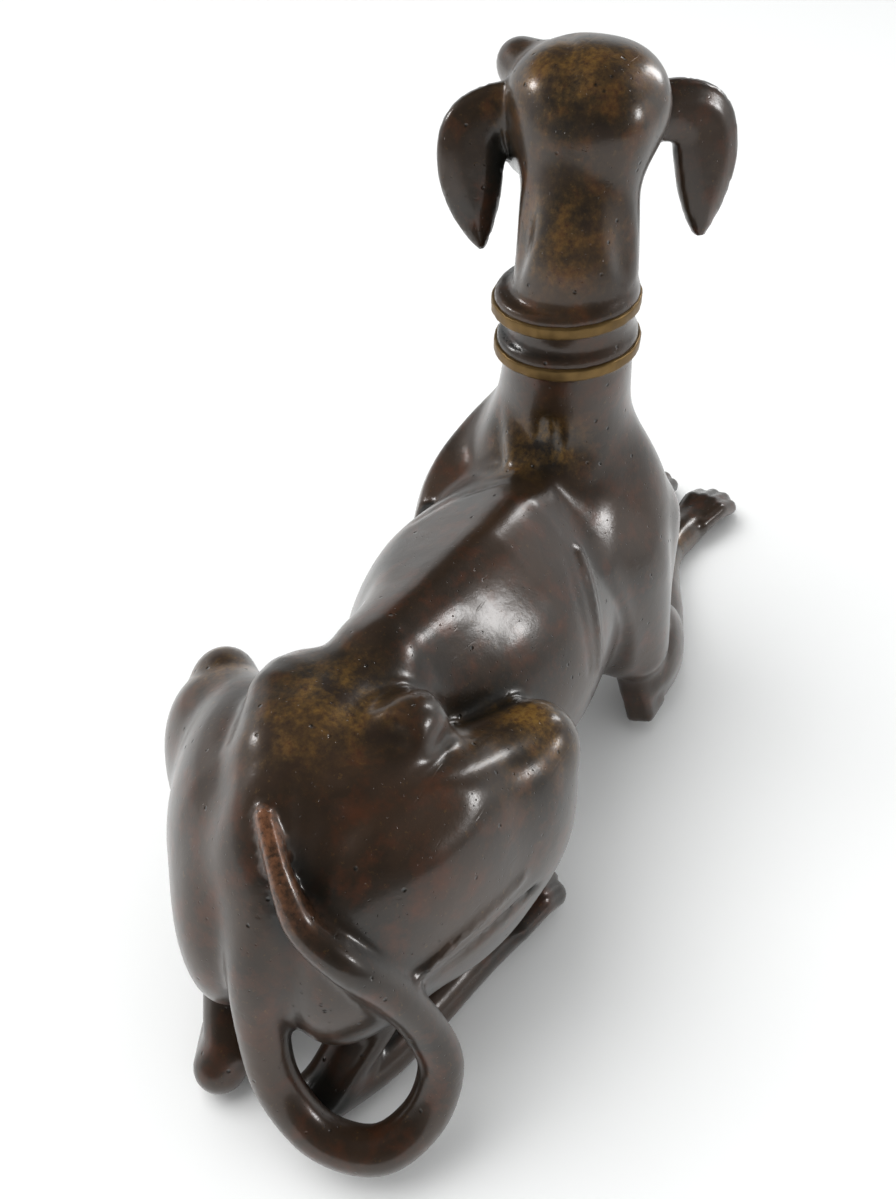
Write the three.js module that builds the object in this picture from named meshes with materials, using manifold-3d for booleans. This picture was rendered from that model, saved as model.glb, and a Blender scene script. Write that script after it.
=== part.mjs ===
// A recumbent greyhound with its head raised, one hollow bronze casting with its collar.
// +X runs from the tail to the forepaws, +Y is the dog's left side and +Z is up.
// Its body is a field of distances in which tapered bars and rounded masses melt together.
// The skin of that field is traced on a grid, thinned, and cut flat under the feet.
import * as THREE from 'three';
import { SimplifyModifier } from 'three/addons/modifiers/SimplifyModifier.js';
import Module from 'manifold-3d';

// Driving dimensions, in millimetres
const figureLength = 195; // from the tail's loop to the toes of the forepaws
const collarRadius = 11.3; // of the two rounded ledges that the fillets are set under
const collarSpacing = 7.3; // between the middles of the two fillets
const ledgeHeight = 3;
const ledgeRise = 0.8; // how much higher a ledge sits than its fillet
const filletWidth = 2; // height of each raised fillet of the collar
const filletProud = 0.7; // how far a fillet stands out from the ledge above it
const filletBed = 2.8; // how deep a fillet is let into the collar
const tailRootRadius = 4.9;
const tailMidRadius = 3.3;
const tailTipRadius = 0.8;
const earThickness = 3.6;
const earHollow = 0.7;
const keelDepth = 5.6; // of the spine's round bar below the crest of the back
const keelRadius = 7.6;
const soleClearance = 0.25; // no point of the skin lies nearer than this to the plane of the soles
const gridStep = 1.5; // spacing of the grid that the skin is traced on
const shortestEdge = 0.06;

// Slopes of the back to either side of the spine, in degrees
const leftSlope = 27;
const rightSlope = 36;

const faceCount = 7600; // triangles kept in the skin
const collarSegments = 44;

// Finish of the casting
const bronzeColour = 0x3a2a20;
const bronzeRoughness = 0.34;
const bronzeMetalness = 0.85;

// Landmarks are drawn for a figure 195 mm long and carried to figureLength
const drawnLength = 195;
const unit = figureLength / drawnLength;
const degree = Math.PI / 180;
const far = 1e3;
const band = 12; // nearer than this to its box, a form gives its true distance

const sides = [1, -1];
const axesOf = [0, 1, 2];
const length3 = (x, y, z) => Math.sqrt(x * x + y * y + z * z);

// A form is the distance to a shape, with the corners of a box that the shape lies in
function form(distance, low, high) {
  return Object.assign(distance, { low, high });
}

function isNear({ low, high }, x, y, z, reach) {
  return x > low[0] - reach && y > low[1] - reach && z > low[2] - reach
    && x < high[0] + reach && y < high[1] + reach && z < high[2] + reach;
}

const lowest = (forms) => axesOf.map((axis) => Math.min(...forms.map(({ low }) => low[axis])));
const highest = (forms) => axesOf.map((axis) => Math.max(...forms.map(({ high }) => high[axis])));

// A tapered round bar between a and b
function bar(a, radiusA, b, radiusB) {
  const [ax, ay, az] = a;
  const dx = b[0] - ax;
  const dy = b[1] - ay;
  const dz = b[2] - az;
  const lengthSquared = dx * dx + dy * dy + dz * dz;
  const distance = (x, y, z) => {
    const px = x - ax;
    const py = y - ay;
    const pz = z - az;
    const along = (px * dx + py * dy + pz * dz) / lengthSquared;
    const t = Math.min(1, Math.max(0, along));
    const gap = length3(px - t * dx, py - t * dy, pz - t * dz);
    return gap - radiusA - t * (radiusB - radiusA);
  };
  const radius = Math.max(radiusA, radiusB);
  const low = axesOf.map((axis) => Math.min(a[axis], b[axis]) - radius);
  const high = axesOf.map((axis) => Math.max(a[axis], b[axis]) + radius);
  return form(distance, low, high);
}

// A run of bars through points that each give x, y, z and radius
function run(points) {
  const bars = [];
  for (let i = 1; i < points.length; i += 1) {
    const [start, end] = [points[i - 1], points[i]];
    bars.push(bar(start, start[3], end, end[3]));
  }
  const distance = (x, y, z) => {
    let nearest = far;
    for (const piece of bars) nearest = Math.min(nearest, piece(x, y, z));
    return nearest;
  };
  return form(distance, lowest(bars), highest(bars));
}

// The same run, rounded through its points by a smooth curve
function curve(points, steps) {
  const path = new THREE.CatmullRomCurve3(points.map((p) => new THREE.Vector3(...p)));
  const radii = new THREE.CatmullRomCurve3(points.map((p) => new THREE.Vector3(p[3], 0, 0)));
  const sampled = [];
  for (let i = 0; i <= steps; i += 1) {
    const place = path.getPoint(i / steps);
    sampled.push([place.x, place.y, place.z, radii.getPoint(i / steps).x]);
  }
  return run(sampled);
}

// The three axes of a thing turned by yaw, pitch and roll in degrees
function turned([yaw, pitch, roll]) {
  const turn = new THREE.Matrix4().makeRotationFromEuler(
    new THREE.Euler(roll * degree, pitch * degree, yaw * degree, 'ZYX'),
  );
  const axes = axesOf.map(() => new THREE.Vector3());
  turn.extractBasis(...axes);
  return axes.map((axis) => axis.toArray());
}

// An ellipsoid turned by yaw, pitch and roll
function mass(centre, radii, angles = [0, 0, 0]) {
  const axes = turned(angles);
  const [[ux, uy, uz], [vx, vy, vz], [wx, wy, wz]] = axes;
  const [cx, cy, cz] = centre;
  const [rx, ry, rz] = radii;
  const distance = (x, y, z) => {
    const px = x - cx;
    const py = y - cy;
    const pz = z - cz;
    const u = (px * ux + py * uy + pz * uz) / rx;
    const v = (px * vx + py * vy + pz * vz) / ry;
    const w = (px * wx + py * wy + pz * wz) / rz;
    const size = length3(u, v, w);
    const slope = length3(u / rx, v / ry, w / rz);
    return slope > 1e-9 ? size * (size - 1) / slope : -Math.min(rx, ry, rz);
  };
  const reach = axesOf.map((axis) => length3(...axes.map((each, k) => each[axis] * radii[k])));
  const low = centre.map((value, axis) => value - reach[axis]);
  const high = centre.map((value, axis) => value + reach[axis]);
  return form(distance, low, high);
}

// Distance outside a corner of two faces that is rounded by a radius
function roundedCorner(pastOne, pastOther, rounding) {
  const [a, b] = [pastOne + rounding, pastOther + rounding];
  return Math.hypot(Math.max(a, 0), Math.max(b, 0)) + Math.min(Math.max(a, b), 0) - rounding;
}

// A turned block with rounded edges
function slab(centre, half, angles, rounding) {
  const axes = turned(angles);
  const distance = (x, y, z) => {
    const [px, py, pz] = [x - centre[0], y - centre[1], z - centre[2]];
    const past = axes.map((axis, k) => Math.abs(px * axis[0] + py * axis[1] + pz * axis[2]) - half[k]);
    const outside = length3(Math.max(past[0], 0), Math.max(past[1], 0), Math.max(past[2], 0));
    return outside + Math.min(Math.max(...past), 0) - rounding;
  };
  const reach = length3(...half) + rounding;
  return form(distance, centre.map((value) => value - reach), centre.map((value) => value + reach));
}

// A round disc about an axis, with softened rims
function drum(middle, axis, halfHeight, radius, rounding) {
  const distance = (x, y, z) => {
    const [px, py, pz] = [x - middle[0], y - middle[1], z - middle[2]];
    const along = px * axis[0] + py * axis[1] + pz * axis[2];
    const around = length3(px - along * axis[0], py - along * axis[1], pz - along * axis[2]);
    return roundedCorner(around - radius, Math.abs(along) - halfHeight, rounding);
  };
  const reach = radius + halfHeight;
  return form(distance, middle.map((value) => value - reach), middle.map((value) => value + reach));
}

// Everything behind a plane through a place
function halfSpace(place, normal) {
  const size = length3(...normal);
  const [nx, ny, nz] = normal.map((value) => value / size);
  return (x, y, z) => (x - place[0]) * nx + (y - place[1]) * ny + (z - place[2]) * nz;
}

// Smooth union of two distances, blended over a width
function blend(a, b, width) {
  const overlap = Math.max(width - Math.abs(a - b), 0) / width;
  return Math.min(a, b) - overlap * overlap * width / 4;
}

function meld(width, forms) {
  const distance = (x, y, z) => {
    let nearest = far;
    for (const each of forms) {
      if (isNear(each, x, y, z, band + width)) nearest = blend(nearest, each(x, y, z), width);
    }
    return nearest;
  };
  return form(distance, lowest(forms), highest(forms));
}

// The part of a form that lies behind a plane, its edge softened over a width
function meet(width, first, plane) {
  const distance = (x, y, z) => -blend(-first(x, y, z), -plane(x, y, z), width);
  return form(distance, first.low, first.high);
}

// The crest of the back, from the croup to the withers
const spine = [
  [8, 3.4, 66], [22, 3, 67], [32, 2.6, 65], [42, 3.4, 64.2], [52, 2, 64.6], [66, 0.8, 65.4], [78, 1, 65.4],
  [90, 2.6, 64],
];
const firstKeelPoint = 3; // behind this one the crest is a fold of the croup, with no keel under it

// The side place or the height of the crest at a place along the body
function crestAt(x, axis) {
  const ahead = Math.min(Math.max(spine.findIndex((point) => point[0] > x), 1), spine.length - 1);
  const [from, to] = [spine[ahead - 1], spine[ahead]];
  const end = spine[spine.length - 1];
  if (x >= end[0]) return end[axis];
  return THREE.MathUtils.mapLinear(Math.max(x, from[0]), from[0], to[0], from[axis], to[axis]);
}

// The plane that falls away from the crest to one side of the body
function fall(side, angle, lift) {
  const [s, c] = [Math.sin(angle * degree), Math.cos(angle * degree)];
  return (x, y, z) => side * (y - crestAt(x, 1)) * s + (z - lift - crestAt(x, 2)) * c;
}

// Ribcage, brisket, forechest, loin and rump, under a back that is flat on its left and round on its right
function trunk() {
  const masses = meld(6, [
    meld(7, [
      mass([69, 2.8, 39], [29.5, 20.4, 26.5], [0, 3, 0]),
      mass([90, 2.8, 36], [22, 16.5, 27], [0, -3, 0]),
      mass([104, 3.5, 30], [17, 13.5, 19]),
      mass([109, 4.5, 45], [15, 13.5, 21], [0, -10, 0]),
    ]),
    bar([60, 2, 48], 12, [34, 4.6, 51], 8.6),
    mass([22, 4, 46.4], [19, 11, 15.6], [0, -14, 0]),
    mass([14, 3.5, 34], [13, 12, 17]),
    run(spine.slice(firstKeelPoint).map(([x, y, z]) => [x, y, z - keelDepth, keelRadius])),
  ]);
  const [crispness, roundness] = [1.2, 10];
  const right = meet(roundness, masses, fall(-1, rightSlope, roundness / 4));
  return meet(crispness, right, fall(1, leftSlope, 0));
}

// Hip point, thigh, haunch muscle, calf and the foot flat on the ground
function hindLeg({ hip, seat, ridge, knee, haunch, hock, foot, paw }) {
  const thigh = meld(5, [bar(seat, 11, knee, knee[3]), ...haunch.map((shape) => mass(...shape))]);
  const front = meld(3, [thigh, curve(hip, 6), bar(ridge, ridge[3], knee, knee[3])]);
  const calf = meld(3, [front, bar(knee, knee[3] * 0.9, hock, hock[3])]);
  return meld(1.2, [calf, curve(foot, 16), mass(...paw)]);
}

const rightHindLeg = {
  hip: [[19, -4, 54, 4.4], [27.6, -5.8, 56.8, 4.6], [32, -6.2, 56, 4.4], [32.6, -7.4, 50, 4]],
  seat: [22, -7, 43],
  ridge: [35, -11.5, 43.5, 5],
  knee: [46, -17.3, 44.5, 5.6],
  haunch: [
    [[26, -12.5, 34.4], [24.5, 10.5, 19.4], [-16, 30, 0]],
    [[39.8, -18, 36.6], [9.5, 7.2, 12.2], [-16, 8, 0]],
    [[12, -7.5, 30], [12, 8.5, 14], [-10, 10, 0]],
  ],
  hock: [6, -6, 7, 4],
  foot: [
    [3, -5, 4.8, 4.2], [14, -9.2, 3.8, 4.1], [36, -13.4, 3.6, 4.2], [46, -15.4, 4.2, 4.8], [51, -16.6, 4, 4.4],
  ],
  paw: [[50.4, -16, 4], [8, 6, 4.8], [-8, 0, 0]],
};

const leftHindLeg = {
  hip: [[19, 9, 55, 4.6], [27, 12.6, 55.8, 5], [32, 12.8, 54.4, 5], [37, 12, 50, 4]],
  seat: [21, 10, 45],
  ridge: [30, 22, 38.5, 4.2],
  knee: [37.5, 31.6, 43.6, 3.8],
  haunch: [
    [[21.5, 18.4, 33.5], [20, 10.2, 18.6], [28, 30, 0]],
    [[29, 30, 36.5], [8.5, 6.2, 11], [30, 12, 0]],
    [[8, 11, 29.5], [9.5, 6.8, 14], [20, 0, 0]],
  ],
  hock: [2, 10, 7, 4],
  foot: [[0, 10.6, 4.8, 4], [10, 15.6, 4, 3.9], [32, 24, 3.3, 3.7], [44, 26, 3.6, 4.4], [50, 26, 2.8, 3.6]],
  paw: [[49.4, 25.8, 3.4], [8, 5.4, 4], [0, 0, 0]],
};

// Shoulder blade, upper arm, triceps cut by flat planes, the bone of the elbow, and the forearm on the ground
function foreLeg({ blade, point, upperArm, triceps, limb, planes, elbow, forearm, arm, paw }) {
  const muscle = meld(5, [mass(...triceps), run(limb)]);
  const faceted = planes.reduce((shape, [softness, place, normal]) => (
    meet(softness, shape, halfSpace(place, normal))
  ), muscle);
  const shoulder = meld(3, [
    faceted,
    meld(4, [run([blade, point]), mass(...upperArm)]),
    run([point, [...elbow[0], 4]]),
  ]);
  const withElbow = meld(1.2, [shoulder, slab(...elbow)]);
  return meld(1.2, [withElbow, meld(2.5, [mass(...forearm), curve(arm, 16)]), mass(...paw)]);
}

const rightForeLeg = {
  blade: [94, -1.2, 60.2, 4],
  point: [110, -7.6, 43, 8],
  upperArm: [[107.5, -8.6, 44], [8.6, 7.2, 18], [0, -14, -8]],
  triceps: [[96, -9, 42], [18, 8.2, 25], [0, -14, -10]],
  limb: [[97, -9.6, 46, 8.4], [101.6, -13.6, 20, 6.6]],
  planes: [
    [0.8, [82.6, -11, 50], [-0.93, -0.24, -0.28]],
    [0.8, [88, -4, 58.8], [-0.55, -0.46, 0.7]],
    [2.5, [90, -6, 60.6], [-0.14, -0.8, 0.59]],
    [0.8, [98, -14, 14], [-0.3, 0, -0.95]],
  ],
  elbow: [[103, -15.6, 10], [2.8, 1.6, 6], [0, 6, -20], 1.2],
  forearm: [[114, -14.6, 10.5], [13, 5.9, 7.2], [14, 4, 0]],
  arm: [
    [106, -15.8, 5, 4], [115, -15, 5.6, 5], [128, -11.5, 5.5, 4.8], [152, -3.4, 4, 4], [166, -4, 3.6, 4.2],
    [174, -5.2, 3, 3.6],
  ],
  paw: [[177, -6, 3.8], [10.5, 6, 4.4], [-10, 0, 0]],
};

const leftForeLeg = {
  blade: [95, 10, 60, 5],
  point: [110, 17, 46.5, 10],
  upperArm: [[108, 18, 34], [9, 7.5, 13], [0, -8, 4]],
  triceps: [[96.5, 17.4, 43], [19, 10, 24.5], [0, -14, 10]],
  limb: [[97, 18, 46, 8.4], [101.6, 21.6, 20, 6.6]],
  planes: [
    [0.8, [85.2, 17, 51], [-0.83, -0.5, -0.2]],
    [0.8, [90, 9, 59.5], [-0.45, 0.2, 0.87]],
    [0.8, [98, 22, 14], [-0.3, 0, -0.95]],
  ],
  elbow: [[103, 23.5, 9.4], [2.8, 1.6, 6], [0, 6, 20], 1.2],
  forearm: [[114, 22.5, 10.5], [13, 5.9, 7.2], [-14, 4, 0]],
  arm: [
    [106, 24, 5, 4], [115, 23.4, 5.6, 5], [128, 20, 5.5, 4.8], [152, 12, 4, 4], [166, 10.5, 3.6, 4.2],
    [176, 9.6, 3, 3.6],
  ],
  paw: [[178.6, 9.6, 3.8], [10, 6, 4.4], [-4, 0, 0]],
};

// The collar is two rounded ledges round the neck, each with a fillet under it, in a plane that leans a little
const collarMiddle = [97.45, 2.65, 85.6];
const collarAxis = new THREE.Vector3(-0.1, 0.04, 1).normalize().toArray();
const alongCollar = (rise) => collarMiddle.map((value, axis) => value + collarAxis[axis] * rise);

function neck() {
  const ledges = sides.map((side) => drum(
    alongCollar((side * collarSpacing / 2 + ledgeRise) / unit),
    collarAxis,
    ledgeHeight / 2 / unit,
    collarRadius / unit,
    ledgeHeight * 0.3 / unit,
  ));
  return meld(1.5, [
    curve([
      [106, 4.5, 52, 13.5], [102, 4, 66, 11.7], [98, 2, 82, 10.2], [97.8, 1.7, 95, 9.6], [102.5, 4, 110, 8.8],
    ], 40),
    ...ledges,
  ]);
}

// Places on the head are given forward, left and up from the middle of the skull
const skull = [109, 6, 113];
const headYaw = 40;

function onHead([forward, left, up]) {
  const [c, s] = [Math.cos(headYaw * degree), Math.sin(headYaw * degree)];
  return [skull[0] + forward * c - left * s, skull[1] + forward * s + left * c, skull[2] + up];
}

// Skull, brows, cheeks, muzzle and jaw
function head() {
  const facing = [headYaw, 0, 0];
  return meld(4.5, [
    mass(onHead([-1, 0.6, 1.4]), [15.5, 10.8, 10.6], facing),
    ...sides.map((side) => mass(onHead([-1.5, 0.6 + side * 6.2, 3.4]), [8.5, 5.6, 6.4], facing)),
    mass(onHead([13, 7.2, 5]), [5, 4, 4], facing),
    mass(onHead([13, -6.6, 4.2]), [5, 4, 4], facing),
    ...sides.map((side) => mass(onHead([5, side * 7.6, -4.4]), [8, 4.4, 5.2], facing)),
    bar(onHead([8, 0, -1]), 8.2, onHead([37, 0, -7]), 4.2),
    bar(onHead([8, 0, -6]), 6, onHead([33, 0, -10.5]), 2.8),
    mass(onHead([39.6, 0, -5.2]), [2.6, 3, 2.6], facing),
  ]);
}

// A drooping ear: a leaf about a middle line that gives left, up and half width, a little hollow in its middle
function ear(side, line) {
  const outline = curve(line.map(([left, up, wide]) => [0, side * left, up, wide]), 24);
  const turn = (headYaw - side * 8) * degree;
  const [c, s] = [Math.cos(turn), Math.sin(turn)];
  const thickness = earThickness / unit;
  const rim = 3.5;
  const leafAt = (up) => 0.7 + 0.16 * up;
  const distance = (x, y, z) => {
    const [px, py, up] = [x - skull[0], y - skull[1], z - skull[2]];
    const inward = outline(0, py * c - px * s, up);
    const depth = THREE.MathUtils.smoothstep(-inward, 0, rim);
    const fromLeaf = Math.abs(px * c + py * s - leafAt(up) + earHollow / unit * depth);
    return roundedCorner(inward, fromLeaf - thickness / 2 * (0.7 + 0.3 * depth), thickness / 4);
  };
  const places = line.map(([left, up]) => onHead([leafAt(up), side * left, up]));
  const reach = Math.max(...line.map(([, , wide]) => wide)) + thickness;
  const low = axesOf.map((axis) => Math.min(...places.map((place) => place[axis])) - reach);
  const high = axesOf.map((axis) => Math.max(...places.map((place) => place[axis])) + reach);
  return form(distance, low, high);
}

const leftEar = [
  [9.6, 1.6, 3.8], [14.6, 0.6, 4.3], [17.6, -2, 5], [18, -6.6, 5.2], [17.6, -11, 4.3], [17, -15, 2.7],
  [16.4, -18.2, 1],
];
const rightEar = [
  [11, -0.4, 4.2], [16.4, -0.6, 4.7], [20.4, -2.8, 5.5], [21.4, -7.2, 5.6], [21.3, -11.8, 4.6], [21, -16, 2.9],
  [20.8, -19.2, 1.2],
];

// The tail drops from the croup, swings round in a loop and lays its tip on the rump
function tail() {
  const [root, mid, tip] = [tailRootRadius / unit, tailMidRadius / unit, tailTipRadius / unit];
  return curve([
    [12, 3, 50, root * 1.2], [6, 1.5, 43, root], [2, 1, 35, root * 0.95], [-1, 0, 25, root * 0.75],
    [-3, -3, 15, mid], [-3.5, -10, 8.5, mid], [-1, -17.5, 7.5, mid * 1.03], [4.5, -21.5, 11, mid],
    [8.6, -22, 18, mid * 0.97], [8.4, -19.4, 26, mid * 0.9], [5.8, -16, 34.6, mid * 0.83],
    [2.6, -11.4, 42, mid * 0.76], [2.4, -6, 46, mid * 0.66], [3.8, -2.8, 50.4, mid * 0.52], [8, 2.4, 56.6, tip],
  ], 60);
}

function greyhound() {
  const body = meld(4.5, [trunk(), hindLeg(rightHindLeg), hindLeg(leftHindLeg)]);
  const front = meld(4, [body, foreLeg(rightForeLeg), foreLeg(leftForeLeg)]);
  const withNeck = meld(8, [front, neck()]);
  const withHead = meld(3.6, [withNeck, head()]);
  const withEars = meld(1.6, [withHead, ear(1, leftEar), ear(-1, rightEar)]);
  return meld(2.4, [withEars, tail()]);
}

// A fillet is a ring of square section with its outer corners taken off
function filletGeometry(rise) {
  const half = filletWidth / 2;
  const corner = filletWidth * 0.15;
  const [inner, outer] = [collarRadius - filletBed, collarRadius + filletProud];
  const section = [
    [inner, -half], [outer - corner, -half], [outer, corner - half],
    [outer, half - corner], [outer - corner, half], [inner, half],
  ];
  const axis = new THREE.Vector3(...collarAxis);
  const middle = new THREE.Vector3(...collarMiddle).multiplyScalar(unit).addScaledVector(axis, rise);
  const across = new THREE.Vector3(1, 0, 0).cross(axis).normalize();
  const positions = [];
  const index = [];
  for (let i = 0; i < collarSegments; i += 1) {
    const ray = across.clone().applyAxisAngle(axis, i / collarSegments * 2 * Math.PI);
    for (const [out, up] of section) {
      positions.push(...middle.clone().addScaledVector(ray, out).addScaledVector(axis, up));
    }
    const [here, next] = [i * section.length, (i + 1) % collarSegments * section.length];
    section.forEach((_, k) => {
      const after = (k + 1) % section.length;
      index.push(here + k, next + k, next + after, here + k, next + after, here + after);
    });
  }
  const geometry = new THREE.BufferGeometry();
  geometry.setAttribute('position', new THREE.Float32BufferAttribute(positions, 3));
  geometry.setIndex(index);
  return geometry;
}

// Six tetrahedra fill each cell of the grid, all sharing its long diagonal
const tetrahedra = [
  [0, 1, 3, 7], [0, 3, 2, 7], [0, 2, 6, 7], [0, 6, 4, 7], [0, 4, 5, 7], [0, 5, 1, 7],
];

// Samples the field on a grid round its box; a block far from the skin keeps its middle's value
function sampleField(field, step) {
  const room = step * 3;
  const low = field.low.map((value) => value - room);
  const count = low.map((value, axis) => Math.ceil((field.high[axis] + room - value) / step) + 1);
  const values = new Float64Array(count[0] * count[1] * count[2]);
  const block = 6;
  const reach = block * step * 1.2;
  const at = (i, j, k) => field(low[0] + i * step, low[1] + j * step, low[2] + k * step);
  const fillBlock = (start) => {
    const middle = at(...start.map((value) => value + block / 2));
    const end = start.map((value, axis) => Math.min(value + block, count[axis]));
    for (let k = start[2]; k < end[2]; k += 1) {
      for (let j = start[1]; j < end[1]; j += 1) {
        for (let i = start[0]; i < end[0]; i += 1) {
          const index = i + count[0] * (j + count[1] * k);
          values[index] = Math.abs(middle) > reach ? middle : at(i, j, k);
        }
      }
    }
  };
  for (let k = 0; k < count[2]; k += block) {
    for (let j = 0; j < count[1]; j += block) {
      for (let i = 0; i < count[0]; i += block) fillBlock([i, j, k]);
    }
  }
  return { low, count, values };
}

// Moves a point onto the skin along the field's slope
function settle(field, point) {
  const reach = 0.05;
  let [x, y, z] = point;
  for (let pass = 0; pass < 3; pass += 1) {
    const value = field(x, y, z);
    const gx = (field(x + reach, y, z) - field(x - reach, y, z)) / (2 * reach);
    const gy = (field(x, y + reach, z) - field(x, y - reach, z)) / (2 * reach);
    const gz = (field(x, y, z + reach) - field(x, y, z - reach)) / (2 * reach);
    const steepness = Math.max(gx * gx + gy * gy + gz * gz, 0.25);
    x -= value * gx / steepness;
    y -= value * gy / steepness;
    z -= value * gz / steepness;
  }
  return [x, y, z];
}

function traceSkin(field, step) {
  const { low, count, values } = sampleField(field, step);
  const strideY = count[0];
  const strideZ = count[0] * count[1];
  const corners = [];
  for (let corner = 0; corner < 8; corner += 1) {
    corners.push((corner & 1) + ((corner >> 1) & 1) * strideY + ((corner >> 2) & 1) * strideZ);
  }
  const positions = [];
  const faces = [];
  const known = new Map();
  const place = (index) => [
    low[0] + (index % strideY) * step,
    low[1] + (Math.floor(index / strideY) % count[1]) * step,
    low[2] + Math.floor(index / strideZ) * step,
  ];
  const crossing = (a, b) => {
    const key = Math.min(a, b) * values.length + Math.max(a, b);
    if (known.has(key)) return known.get(key);
    const share = Math.min(0.94, Math.max(0.06, values[a] / (values[a] - values[b])));
    const [from, to] = [place(a), place(b)];
    positions.push(...from.map((value, axis) => value + share * (to[axis] - value)));
    known.set(key, positions.length / 3 - 1);
    return positions.length / 3 - 1;
  };
  const addTetrahedron = (points) => {
    const inside = points.filter((point) => values[point] < 0);
    const outside = points.filter((point) => values[point] >= 0);
    if (inside.length === 1) {
      addFace(outside.map((point) => crossing(inside[0], point)), inside[0]);
    } else if (inside.length === 3) {
      addFace(inside.map((point) => crossing(point, outside[0])), inside[0], inside);
    } else if (inside.length === 2) {
      const [a, b] = inside;
      const [c, d] = outside;
      const ring = [crossing(a, c), crossing(a, d), crossing(b, d), crossing(b, c)];
      addFace([ring[0], ring[1], ring[2]], a);
      addFace([ring[0], ring[2], ring[3]], a);
    }
  };
  const addFace = (face, insidePoint) => {
    const [a, b, c] = face.map((vertex) => new THREE.Vector3().fromArray(positions, vertex * 3));
    const inner = new THREE.Vector3(...place(insidePoint));
    const normal = new THREE.Vector3().crossVectors(b.clone().sub(a), c.clone().sub(a));
    const outward = normal.dot(a.clone().sub(inner)) > 0;
    faces.push(...(outward ? face : [face[0], face[2], face[1]]));
  };
  for (let k = 0; k < count[2] - 1; k += 1) {
    for (let j = 0; j < count[1] - 1; j += 1) {
      for (let i = 0; i < count[0] - 1; i += 1) {
        const base = i + j * strideY + k * strideZ;
        const signs = corners.filter((offset) => values[base + offset] < 0).length;
        if (signs > 0 && signs < 8) {
          for (const cornersOf of tetrahedra) {
            addTetrahedron(cornersOf.map((corner) => base + corners[corner]));
          }
        }
      }
    }
  }
  return { positions, faces };
}

function skinGeometry(field) {
  const { positions, faces } = traceSkin(field, gridStep / unit);
  for (let i = 0; i < positions.length; i += 3) {
    const settled = settle(field, positions.slice(i, i + 3));
    settled.forEach((value, axis) => {
      positions[i + axis] = value * unit;
    });
    if (Math.abs(positions[i + 2]) < soleClearance) positions[i + 2] = -soleClearance;
  }
  const geometry = new THREE.BufferGeometry();
  geometry.setAttribute('position', new THREE.Float32BufferAttribute(positions, 3));
  geometry.setIndex(faces);
  return geometry;
}

// Thins the traced skin to faceCount triangles
async function thin(geometry) {
  const faces = geometry.index.count / 3;
  const vertices = geometry.attributes.position.count;
  const removed = Math.max(0, Math.round(vertices * (1 - faceCount / faces)));
  return new SimplifyModifier().modify(geometry, removed);
}

function toSolid(wasm, geometry) {
  const mesh = new wasm.Mesh({
    numProp: 3,
    vertProperties: Float32Array.from(geometry.attributes.position.array),
    triVerts: Uint32Array.from(geometry.index.array),
  });
  return new wasm.Manifold(mesh);
}

function toGeometry(solid) {
  const mesh = solid.getMesh();
  const geometry = new THREE.BufferGeometry();
  geometry.setAttribute('position', new THREE.BufferAttribute(mesh.vertProperties, 3));
  geometry.setIndex(new THREE.BufferAttribute(mesh.triVerts, 1));
  return geometry;
}

// Everything above the table: the soles are filed flat on it
function aboveTable() {
  const size = figureLength * 3;
  const box = new THREE.BoxGeometry(size, size, size).translate(0, 0, size / 2);
  const geometry = new THREE.BufferGeometry();
  const key = (i) => box.attributes.position.array.slice(i * 3, i * 3 + 3).join(' ');
  const unique = new Map();
  const positions = [];
  const index = Array.from(box.index.array, (i) => {
    if (!unique.has(key(i))) {
      unique.set(key(i), positions.length / 3);
      positions.push(...box.attributes.position.array.slice(i * 3, i * 3 + 3));
    }
    return unique.get(key(i));
  });
  geometry.setAttribute('position', new THREE.Float32BufferAttribute(positions, 3));
  geometry.setIndex(index);
  return geometry;
}

// Draws together the ends of edges too short to matter, which cuts and joins leave behind
function withoutTinyEdges(geometry, shortest) {
  const points = geometry.attributes.position;
  const index = geometry.index.array;
  const owner = Array.from({ length: points.count }, (_, i) => i);
  const find = (i) => (owner[i] === i ? i : find(owner[i]));
  const place = (i) => new THREE.Vector3().fromBufferAttribute(points, i);
  for (let i = 0; i < index.length; i += 3) {
    for (let side = 0; side < 3; side += 1) {
      const [a, b] = [find(index[i + side]), find(index[i + (side + 1) % 3])];
      if (a !== b && place(a).distanceTo(place(b)) < shortest) {
        const [kept, dropped] = points.getZ(a) === 0 ? [a, b] : [b, a];
        owner[dropped] = kept;
      }
    }
  }
  const kept = [];
  for (let i = 0; i < index.length; i += 3) {
    const [a, b, c] = [find(index[i]), find(index[i + 1]), find(index[i + 2])];
    if (a !== b && b !== c && c !== a) kept.push(a, b, c);
  }
  geometry.setIndex(kept);
  return geometry;
}

async function castingGeometry() {
  const wasm = await Module();
  wasm.setup();
  const field = greyhound();
  const skin = toSolid(wasm, await thin(skinGeometry(field)));
  const fillets = sides.map((side) => toSolid(wasm, filletGeometry(side * collarSpacing / 2)));
  const withCollar = fillets.reduce((solid, fillet) => solid.add(fillet), skin);
  const casting = toGeometry(withCollar.intersect(toSolid(wasm, aboveTable())));
  return withoutTinyEdges(casting, shortestEdge);
}

function patinatedBronze() {
  return new THREE.MeshStandardMaterial({
    color: bronzeColour,
    roughness: bronzeRoughness,
    metalness: bronzeMetalness,
  });
}

// The origin is the middle of the figure's own box, on the table
function centred(geometry) {
  geometry.computeBoundingBox();
  const middle = geometry.boundingBox.getCenter(new THREE.Vector3());
  return geometry.translate(-middle.x, -middle.y, 0);
}

const figure = new THREE.Group();
const casting = new THREE.Mesh(centred(await castingGeometry()), patinatedBronze());
casting.name = 'greyhound';
figure.add(casting);

export default figure;
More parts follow.
